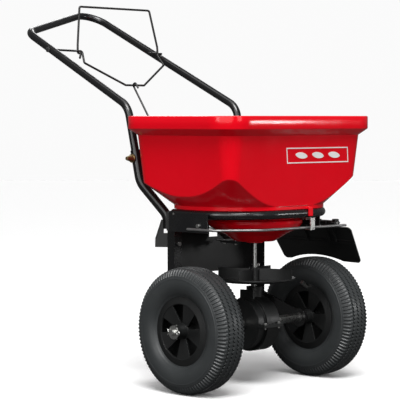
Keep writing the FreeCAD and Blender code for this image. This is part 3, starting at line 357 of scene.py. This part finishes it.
def hopper_rows(turn):
    """Reach and height of every row of the skin at one direction, as one closed line."""
    rows = side_rows(turn, 0.0, RIM_TOP - RIM_DEEP - RIM_TAPER)
    band_low = RIM_TOP - RIM_DEEP
    band = [(2.0, band_low - 1.4), (0.5, band_low - 0.3), (0.0, band_low + 1.0), (0.0, RIM_TOP - 14),
            (0.0, RIM_TOP - 3.0), (0.8, RIM_TOP - 1.0), (3.0, RIM_TOP), (12.0, RIM_TOP)]
    rows += [(rim_reach(turn, inset), z) for inset, z in band]
    rows.append((wall_reach(turn, RIM_TOP, SKIN - 2.5), RIM_TOP))
    rows.append((wall_reach(turn, RIM_TOP, SKIN - 0.6), RIM_TOP - 0.7))
    rows += reversed(side_rows(turn, SKIN, RIM_TOP - 2.5))
    rows.append((ring_reach(turn, SKIN), RING_LOW + SKIN + 1.0))
    mouth = circle_reach(math.cos(turn), math.sin(turn), 0.0, -HOPPER_Y, MOUTH_R)
    inner = [floor_row(turn, k / FLOOR_ROWS, SKIN) for k in range(FLOOR_ROWS + 1)]
    rows += [(out, z + SKIN) for out, z in inner]
    rows.append((mouth, inner[-1][1] + SKIN))
    outer = [floor_row(turn, k / FLOOR_ROWS, 0.0) for k in range(FLOOR_ROWS, -1, -1)]
    rows.append((mouth, outer[0][1]))
    rows += outer
    rows.append((ring_reach(turn, 1.0), RING_LOW))
    rows.append((ring_reach(turn, 0.0), RING_LOW + 1.0))
    rows.append((ring_reach(turn, 0.0), RING_TOP - 1.5))
    return rows


def build_hopper():
    turns = [2 * math.pi * (i + 0.5) / AROUND for i in range(AROUND)]
    columns = [hopper_rows(turn) for turn in turns]
    rings = []
    for k in range(len(columns[0])):
        ring = []
        for turn, column in zip(turns, columns):
            out, z = column[k]
            ring.append(at(out * math.cos(turn), HOPPER_Y + out * math.sin(turn), z))
        rings.append(ring)
    made = loop_mesh("hopper_shell", rings, FINISHES["hopper_red"], 32.0)
    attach(made, "frame")
    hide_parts("hopper")
    build_tab()


def build_tab():
    """Small tab that hangs from the front of the ring, over the hoop."""
    front = HOPPER_Y + RING_HALF_Y
    profile = [(-1.5, RING_LOW + 5), (-1.5, RING_LOW + 0.4), (5.3, RING_LOW + 0.4),
               (5.3, TAB_LOW + 0.8), (6.1, TAB_LOW), (7.6, TAB_LOW), (8.4, TAB_LOW + 0.8),
               (8.4, RING_LOW + 4), (7.4, RING_LOW + 5)]
    count = len(profile)
    points = [at(x, front + y, z) for x in (TAB_X - TAB_HALF, TAB_X + TAB_HALF) for y, z in profile]
    faces = [tuple(range(count)), tuple(range(2 * count - 1, count - 1, -1))]
    for i in range(count):
        j = (i + 1) % count
        faces.append((i, count + i, count + j, j))
    made = solid("hopper_tab", points, faces, FINISHES["hopper_red"])
    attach(made, "frame")


# ---------------------------------------------------------------- label

LABEL_X, LABEL_Z = -69.0, 569.5
LABEL_W, LABEL_H = 226.0, 38.0
LABEL_PROUD, LABEL_SUNK = 0.6, 0.3              # in front of the wall, and into it
LABEL_LINE, LABEL_LEAN = 2.6, 4.0
LEAF_LONG, LEAF_WIDE, LEAF_PITCH = 22.0, 7.5, 60.0
LEAF_POINTS, LEAF_SHARP, LEAF_TILT = 20, 0.3, 0.12


def on_front(x, z, proud):
    front = HOPPER_Y + RIM_HALF_Y - WALL_IN_Y + (z - WALL_REF_Z) * DRAFT
    return at(LABEL_X + x, front + proud, z)


def flat_piece(name, outline):
    """Thin raised piece on the front wall, from (x, z) points about the label's middle."""
    count = len(outline)
    back = [on_front(x, LABEL_Z + z, -LABEL_SUNK) for x, z in outline]
    front = [on_front(x, LABEL_Z + z, LABEL_PROUD) for x, z in outline]
    faces = [tuple(range(count, 2 * count))]
    faces.append(tuple(reversed(range(count))))
    for i in range(count):
        j = (i + 1) % count
        faces.append((i, j, count + j, count + i))
    made = solid(name, back + front, faces, LABEL_WHITE, 20.0)
    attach(made, "frame")
    return made


def slanted(left, right, low, high):
    """Four corners of a bar of the label's outline, whose ends lean."""
    lean = LABEL_LEAN / (LABEL_H / 2)
    return [(left + lean * low, low), (right + lean * low, low), (right + lean * high, high),
            (left + lean * high, high)]


def leaf_outline(x):
    """Pointed oval about x, tilted a little."""
    outline = []
    for i in range(LEAF_POINTS):
        turn = 2 * math.pi * i / LEAF_POINTS
        along = LEAF_LONG * math.cos(turn)
        across = LEAF_WIDE * math.sin(turn) * abs(math.sin(turn)) ** LEAF_SHARP
        outline.append((x + along, across + LEAF_TILT * along))
    return outline


def build_label():
    """Plain outlined plate with three leaves, in place of any mark."""
    half_w, half_h, line = LABEL_W / 2, LABEL_H / 2, LABEL_LINE
    flat_piece("label_top", slanted(-half_w, half_w, half_h - line, half_h))
    flat_piece("label_bottom", slanted(-half_w, half_w, -half_h, -half_h + line))
    flat_piece("label_left", slanted(-half_w, -half_w + line, -half_h + line, half_h - line))
    flat_piece("label_right", slanted(half_w - line, half_w, -half_h + line, half_h - line))
    for k, x in enumerate((-LEAF_PITCH, 0.0, LEAF_PITCH)):
        flat_piece(f"label_leaf_{k + 1}", leaf_outline(x))


# ---------------------------------------------------------------- tyres

def groove_columns():
    """Across the crown: (distance from the middle, radius, share of the zigzag) of every column."""
    columns = []
    for centre in GROOVES:
        for side, off, deep in ((-1, 0.4, 0.0), (-1, -0.3, 1.0), (1, -0.3, 1.0), (1, 0.4, 0.0)):
            u = centre + side * (GROOVE / 2 + off)
            crown = CROWN_R - CROWN_DROP * (u / CROWN_HALF) ** 2
            columns.append((u, crown - deep * GROOVE_DEEP, 1.0))
    return columns


def tyre_profile():
    """Section of a tyre, bead to bead over the crown, then back inside."""
    side = [(26.8, 79.6), (26.8, 83.5), (30.6, 83.6), (31.6, 85.6), (33.6, 88.4), (34.6, 89.0),
            (35.8, 90.8), (39.0, 95.6), (41.6, 101.4), (43.2, 108.0), (43.8, 114.0), (43.8, 119.0),
            (43.2, 124.2), (43.5, 124.8), (43.2, 127.0), (42.6, 127.6), (41.9, 130.6), (41.2, 132.6)]
    shoulder = [(41.0, 133.4), (40.0, 136.2), (38.6, 139.2), (37.0, 142.2), (34.9, 145.2), (32.6, 147.4),
                (30.6, 148.9)]
    left = [(-u, r, 0.0, 0) for u, r in side] + [(-u, r, 0.0, 1) for u, r in shoulder]
    right = [(u, r, 0.0, 1) for u, r in reversed(shoulder)] + [(u, r, 0.0, 0) for u, r in reversed(side)]
    crown = [(u, r, z, 0) for u, r, z in groove_columns()]
    inside = [(20.0, 79.6), (31.0, 97.0), (36.0, 115.0), (28.0, 139.0), (0.0, 143.0), (-28.0, 139.0),
              (-36.0, 115.0), (-31.0, 97.0), (-20.0, 79.6)]
    return left + crown + right + [(u, r, 0.0, 0) for u, r in inside]


def rib_sunk(u, r):
    """Point on the shoulder moved inwards to the bottom of the groove between two ribs."""
    inward_u, inward_r = abs(u) - RIB_AIM[0], r - RIB_AIM[1]
    length = math.hypot(inward_u, inward_r)
    new_u = abs(u) - RIB_DEEP * inward_u / length
    return math.copysign(new_u, u), r - RIB_DEEP * inward_r / length


def build_tyre(name, body):
    """Tyre with zigzag grooves round the crown and ribs on the shoulders."""
    low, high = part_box(name)
    mid = (low + high) / 2
    steps = PITCHES * PER_PITCH
    profile = tyre_profile()
    wave = (0.0, 1.0, 0.0, -1.0)
    rings = []
    for u, r, zigzag, ribbed in profile:
        ring = []
        for i in range(steps):
            phase = i % PER_PITCH
            turn = 2 * math.pi * i / steps
            across, out = rib_sunk(u, r) if ribbed and phase in (0, 1) else (u, r)
            across += zigzag * ZIGZAG * wave[phase]
            ring.append(mid + MM * Vector((across, out * math.sin(turn), out * math.cos(turn))))
        rings.append(ring)
    made = loop_mesh("tread_" + name, rings, FINISHES["tyre"], 28.0)
    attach(made, body)
    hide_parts(name)


# ---------------------------------------------------------------- stage

def lamp(name, place, target, size, power):
    data = bpy.data.lights.new(name, "AREA")
    data.shape = "RECTANGLE"
    data.size, data.size_y = size
    data.energy = power
    made = bpy.data.objects.new(name, data)
    made.location = place
    made.rotation_euler = (Vector(target) - Vector(place)).to_track_quat("-Z", "Y").to_euler()
    bpy.context.scene.collection.objects.link(made)


def sun(name, azimuth, elevation, strength, softness):
    """Distant light from a compass direction (degrees from +X) and height."""
    data = bpy.data.lights.new(name, "SUN")
    data.energy = strength
    data.angle = math.radians(softness)
    made = bpy.data.objects.new(name, data)
    turn, lift = math.radians(azimuth), math.radians(elevation)
    towards = Vector((math.cos(lift) * math.cos(turn), math.cos(lift) * math.sin(turn), math.sin(lift)))
    made.rotation_euler = towards.to_track_quat("Z", "Y").to_euler()
    bpy.context.scene.collection.objects.link(made)


def floor_finish():
    """Pale to the camera, darker to everything it would light or be mirrored in."""
    made = bpy.data.materials.new("floor_pale")
    made.use_nodes = True
    tree = made.node_tree
    seen = node(tree, "ShaderNodeLightPath")
    mix = node(tree, "ShaderNodeMixShader")
    dim = node(tree, "ShaderNodeBsdfDiffuse", Color=(FLOOR_DIM, FLOOR_DIM, FLOOR_DIM, 1))
    pale = node(tree, "ShaderNodeBsdfDiffuse", Color=(FLOOR_PALE, FLOOR_PALE, FLOOR_PALE, 1))
    tree.links.new(seen.outputs["Is Camera Ray"], mix.inputs[0])
    tree.links.new(dim.outputs[0], mix.inputs[1])
    tree.links.new(pale.outputs[0], mix.inputs[2])
    tree.links.new(mix.outputs[0], tree.nodes["Material Output"].inputs["Surface"])
    return made


def build_stage():
    """Pale floor, plain bright background and soft studio light."""
    bpy.ops.mesh.primitive_circle_add(vertices=96, radius=14.0, fill_type="NGON", location=(0, 0, -0.0005))
    floor = bpy.context.object
    floor.name = "floor"
    floor.data.materials.append(floor_finish())
    world = bpy.data.worlds.new("studio")
    world.use_nodes = True
    tree = world.node_tree
    seen = node(tree, "ShaderNodeLightPath")
    mix = node(tree, "ShaderNodeMixShader")
    glow = tree.nodes["Background"]
    glow.inputs["Color"].default_value = (1, 1, 1, 1)
    glow.inputs["Strength"].default_value = GLOW
    backdrop = node(tree, "ShaderNodeBackground", Strength=BACKDROP, Color=(1, 1, 1, 1))
    tree.links.new(seen.outputs["Is Camera Ray"], mix.inputs[0])
    tree.links.new(glow.outputs[0], mix.inputs[1])
    tree.links.new(backdrop.outputs[0], mix.inputs[2])
    tree.links.new(mix.outputs[0], tree.nodes["World Output"].inputs["Surface"])
    bpy.context.scene.world = world
    sun("key", 50.0, 54.0, 2.7, 30.0)
    sun("fill", 30.0, 14.0, 1.5, 60.0)
    lamp("top", (0.4, 0.6, 3.4), (0, 0, 0.3), (3.0, 3.0), 40.0)
    lamp("right", (3.2, 0.4, 1.6), (0, 0, 0.45), (0.8, 1.8), 14.0)
    lamp("front", (0.3, 3.6, 1.7), (0, 0, 0.45), (1.0, 1.8), 16.0)
    lamp("glint", at(-1690.0, 1870.0, 643.0), at(143.0, 173.0, 650.0), (0.24, 0.3), 6.0)
    lamp("back", (-2.2, -2.6, 2.4), (0, 0, 0.5), (1.6, 1.2), 20.0)


def build_camera():
    """Long lens, level with the hopper's rim, from the front right."""
    data = bpy.data.cameras.new("view")
    data.lens = CAMERA_LENS
    data.sensor_width = 36.0
    data.clip_end = 100.0
    made = bpy.data.objects.new("view", data)
    made.location = at(*CAMERA_PLACE)
    made.rotation_euler = [math.radians(angle) for angle in CAMERA_TURN]
    bpy.context.scene.collection.objects.link(made)
    bpy.context.scene.camera = made


dress_cad()
build_hopper()
build_label()
build_tyre("tyre_left", "free_wheel")
build_tyre("tyre_right", "drive_axle")
build_stage()
build_camera()
bpy.context.scene.view_settings.view_transform = "Standard"
